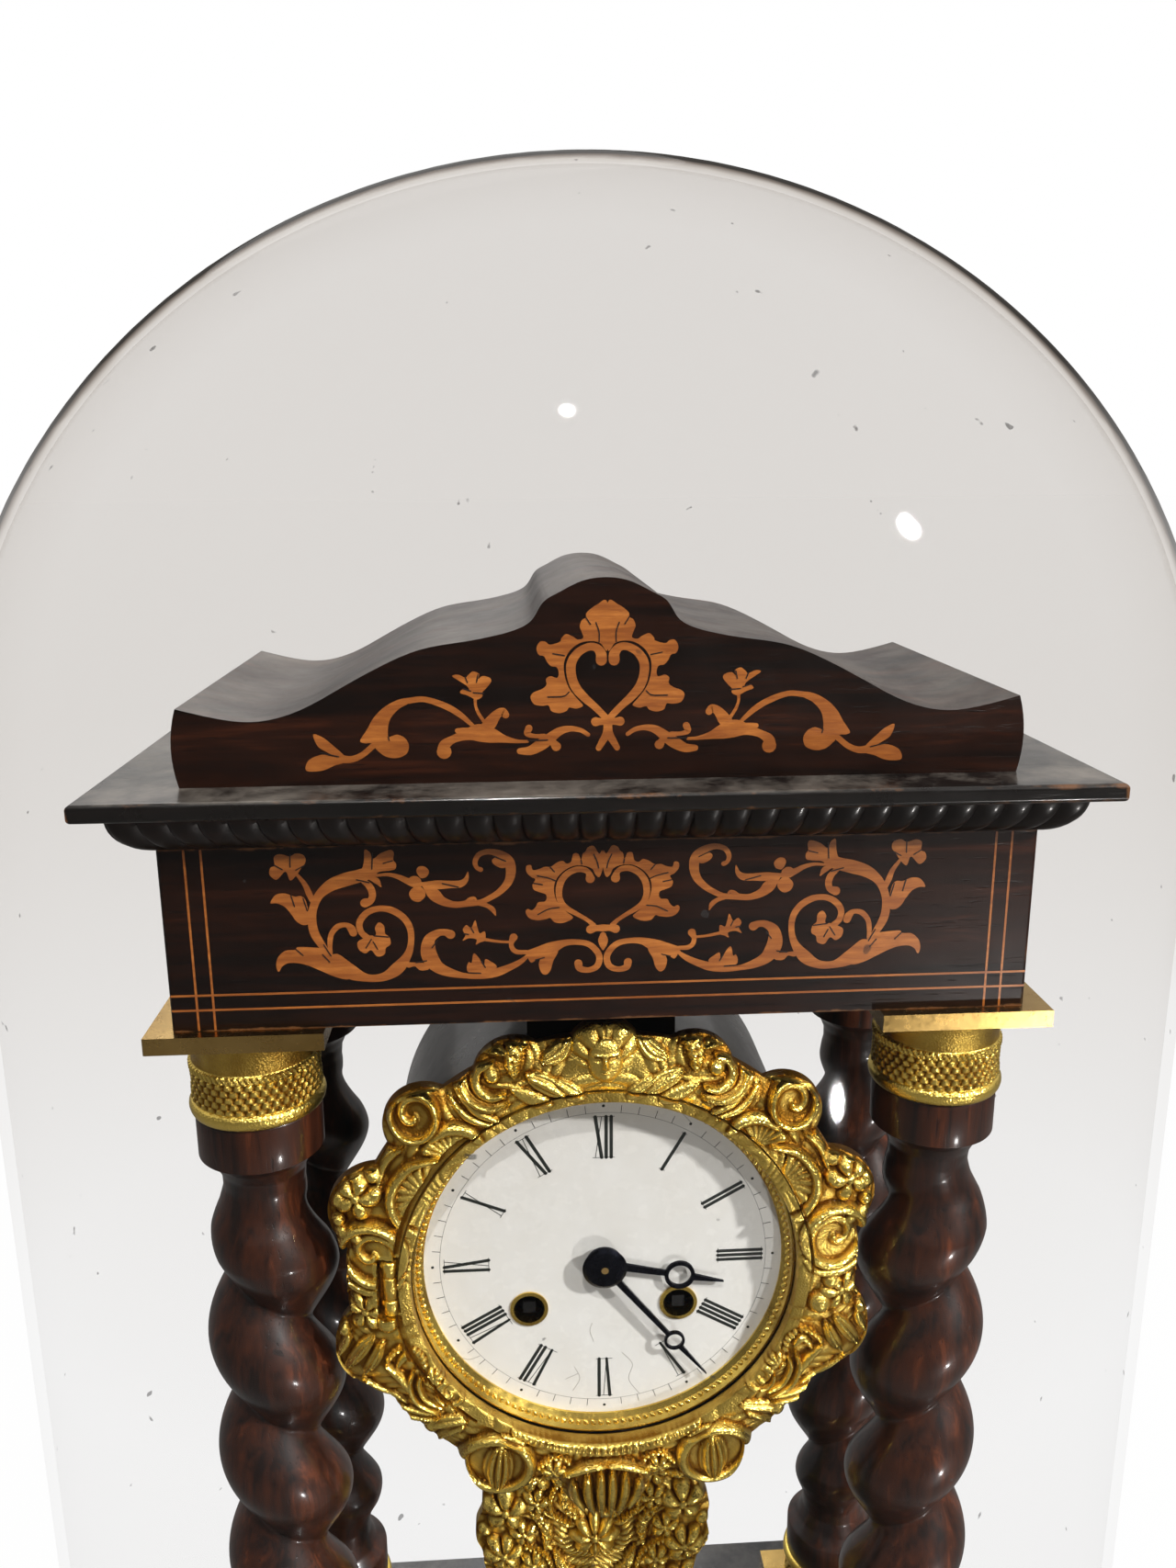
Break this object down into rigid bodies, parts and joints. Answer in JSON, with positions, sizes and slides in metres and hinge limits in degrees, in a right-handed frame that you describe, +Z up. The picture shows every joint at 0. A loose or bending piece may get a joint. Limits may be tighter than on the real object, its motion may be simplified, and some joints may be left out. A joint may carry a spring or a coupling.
{
  "type": "mantel clock",
  "caption": "Portico mantel clock with twisted wooden columns, marquetry entablature, gilt bezel, swinging pendulum and striking movement, under an oval glass dome.",
  "frame": {"origin": "on the floor under the middle of the dome's oval stand", "axes": "+X to the right as the dial is read, +Y to the back, +Z up"},
  "size_m": [0.372, 0.245, 0.611],
  "materials": {
    "rosewood": "french polished",
    "ebonised": "polished, ebonised",
    "gilt": "gilt, bright",
    "movement_brass": "lacquered",
    "steel": "brushed",
    "blued_steel": "blued",
    "bell_metal": "satin",
    "enamel": "gloss",
    "clear_glass": "clear"
  },
  "bodies": {
    "case": {"dome_base": "ebonised", "dome_base_feet": "ebonised", "clock_feet": "ebonised", "plinth_body": "rosewood", "plinth_mouldings": "ebonised", "column_front_left": "rosewood", "column_front_right": "rosewood", "column_rear_left": "rosewood", "column_rear_right": "rosewood", "column_collars": "gilt", "column_plates": "gilt", "frieze": "rosewood", "gadroon_moulding": "rosewood", "cornice_board": "ebonised", "pediment": "rosewood", "drum_hanger": "ebonised", "drum": "ebonised", "front_bezel": "gilt", "bezel_straps": "movement_brass", "rear_ring": "movement_brass", "hinge_pins": "steel", "case_screws": "steel", "dial": "enamel", "dial_plate": "movement_brass", "dial_fittings": "gilt", "front_plate": "movement_brass", "back_plate": "movement_brass", "plate_pillars": "movement_brass", "movement_screws": "steel", "suspension_cock": "movement_brass", "bell": "bell_metal", "bell_stand": "steel"},
    "dome": {"glass_dome": "clear_glass"},
    "sash": {"sash_ring": "gilt", "dial_glass": "clear_glass"},
    "back_door": {"rear_door": "movement_brass"},
    "centre": {"centre_wheel": "movement_brass", "cannon_pinion": "movement_brass", "minute_hand": "blued_steel", "hand_boss": "blued_steel"},
    "hour": {"hour_wheel": "movement_brass", "hour_hand": "blued_steel"},
    "minute_work": {"minute_wheel": "movement_brass"},
    "second": {"second_wheel": "movement_brass"},
    "barrel_going": {"going_barrel": "movement_brass"},
    "third": {"third_wheel": "movement_brass"},
    "escape": {"escape_wheel": "movement_brass"},
    "winder_going": {"going_winding_arbor": "steel"},
    "click_going": {"going_click": "steel"},
    "barrel_strike": {"strike_barrel": "movement_brass"},
    "winder_strike": {"strike_winding_arbor": "steel"},
    "click_strike": {"strike_click": "steel"},
    "second_strike": {"strike_second_wheel": "movement_brass"},
    "pins": {"pin_wheel": "movement_brass"},
    "fly": {"fly": "movement_brass"},
    "hammer": {"hammer": "steel"},
    "anchor": {"anchor": "steel"},
    "pendulum": {"pendulum_rod": "movement_brass", "pendulum_bob": "gilt", "rating_nut": "gilt"}
  },
  "joints": [
    {"name": "dome_lift", "type": "slide", "parent": "case", "child": "dome", "axis": [0, 0, 1], "range_m": [0, 0.5]},
    {"name": "sash_open", "type": "hinge", "parent": "case", "child": "sash", "pos_m": [-0.0579, -0.0505, 0.322], "axis": [0, 0, -1], "range_deg": [0, 18]},
    {"name": "back_door_open", "type": "hinge", "parent": "case", "child": "back_door", "pos_m": [-0.0575, 0.0441, 0.322], "axis": [0, 0, 1], "range_deg": [0, 20]},
    {"name": "minute_turn", "type": "hinge", "parent": "case", "child": "centre", "pos_m": [0, 0, 0.322], "axis": [0, 1, 0], "continuous": true},
    {"name": "hour_turn", "type": "hinge", "parent": "case", "child": "hour", "pos_m": [0, 0, 0.322], "axis": [0, 1, 0], "continuous": true},
    {"name": "minute_wheel_turn", "type": "hinge", "parent": "case", "child": "minute_work", "pos_m": [0, 0, 0.31], "axis": [0, 1, 0], "continuous": true},
    {"name": "second_wheel_turn", "type": "hinge", "parent": "case", "child": "second", "pos_m": [0.023, 0, 0.3318], "axis": [0, 1, 0], "continuous": true},
    {"name": "going_barrel_turn", "type": "hinge", "parent": "case", "child": "barrel_going", "pos_m": [0.0209, 0, 0.3077], "axis": [0, 1, 0], "continuous": true},
    {"name": "third_wheel_turn", "type": "hinge", "parent": "case", "child": "third", "pos_m": [-0.004, 0, 0.34543], "axis": [0, 1, 0], "continuous": true},
    {"name": "escape_wheel_turn", "type": "hinge", "parent": "case", "child": "escape", "pos_m": [0, 0, 0.35611], "axis": [0, 1, 0], "continuous": true},
    {"name": "going_wind", "type": "hinge", "parent": "case", "child": "winder_going", "pos_m": [0.0209, 0, 0.3077], "axis": [0, 1, 0], "range_deg": [0, 1800]},
    {"name": "going_click_lift", "type": "hinge", "parent": "case", "child": "click_going", "pos_m": [0.0314, 0, 0.3137], "axis": [0, 1, 0], "range_deg": [0, 15]},
    {"name": "pin_wheel_turn", "type": "hinge", "parent": "case", "child": "pins", "pos_m": [-0.02, 0, 0.353], "axis": [0, 1, 0], "continuous": true},
    {"name": "strike_second_turn", "type": "hinge", "parent": "case", "child": "second_strike", "pos_m": [-0.023, 0, 0.3318], "axis": [0, 1, 0], "continuous": true},
    {"name": "strike_barrel_turn", "type": "hinge", "parent": "case", "child": "barrel_strike", "pos_m": [-0.0209, 0, 0.3077], "axis": [0, 1, 0], "continuous": true},
    {"name": "fly_turn", "type": "hinge", "parent": "case", "child": "fly", "pos_m": [-0.014, 0, 0.364], "axis": [0, 1, 0], "continuous": true},
    {"name": "strike_wind", "type": "hinge", "parent": "case", "child": "winder_strike", "pos_m": [-0.0209, 0, 0.3077], "axis": [0, 1, 0], "range_deg": [0, 1800]},
    {"name": "strike_click_lift", "type": "hinge", "parent": "case", "child": "click_strike", "pos_m": [-0.0314, 0, 0.3137], "axis": [0, -1, 0], "range_deg": [0, 15]},
    {"name": "hammer_lift", "type": "hinge", "parent": "case", "child": "hammer", "pos_m": [-0.044, 0, 0.336], "axis": [0, 1, 0], "range_deg": [0, 10]},
    {"name": "pendulum_swing", "type": "hinge", "parent": "case", "child": "pendulum", "pos_m": [0, 0.0158, 0.36611], "axis": [0, 1, 0], "range_deg": [-4.5, 4.5]},
    {"name": "anchor_rock", "type": "hinge", "parent": "case", "child": "anchor", "pos_m": [0, 0, 0.36611], "axis": [0, 1, 0], "range_deg": [-4.5, 4.5]}
  ],
  "couplings": [
    {"joint": "hour_turn", "follows": "minute_turn", "ratio": 0.083333},
    {"joint": "minute_wheel_turn", "follows": "minute_turn", "ratio": -0.33333},
    {"joint": "second_wheel_turn", "follows": "minute_turn", "ratio": -0.16667},
    {"joint": "going_barrel_turn", "follows": "minute_turn", "ratio": 0.033333},
    {"joint": "third_wheel_turn", "follows": "minute_turn", "ratio": -10},
    {"joint": "escape_wheel_turn", "follows": "minute_turn", "ratio": 120},
    {"joint": "strike_second_turn", "follows": "pin_wheel_turn", "ratio": -0.11111},
    {"joint": "strike_barrel_turn", "follows": "pin_wheel_turn", "ratio": 0.022222},
    {"joint": "fly_turn", "follows": "pin_wheel_turn", "ratio": -8},
    {"joint": "anchor_rock", "follows": "pendulum_swing", "ratio": 1}
  ]
}
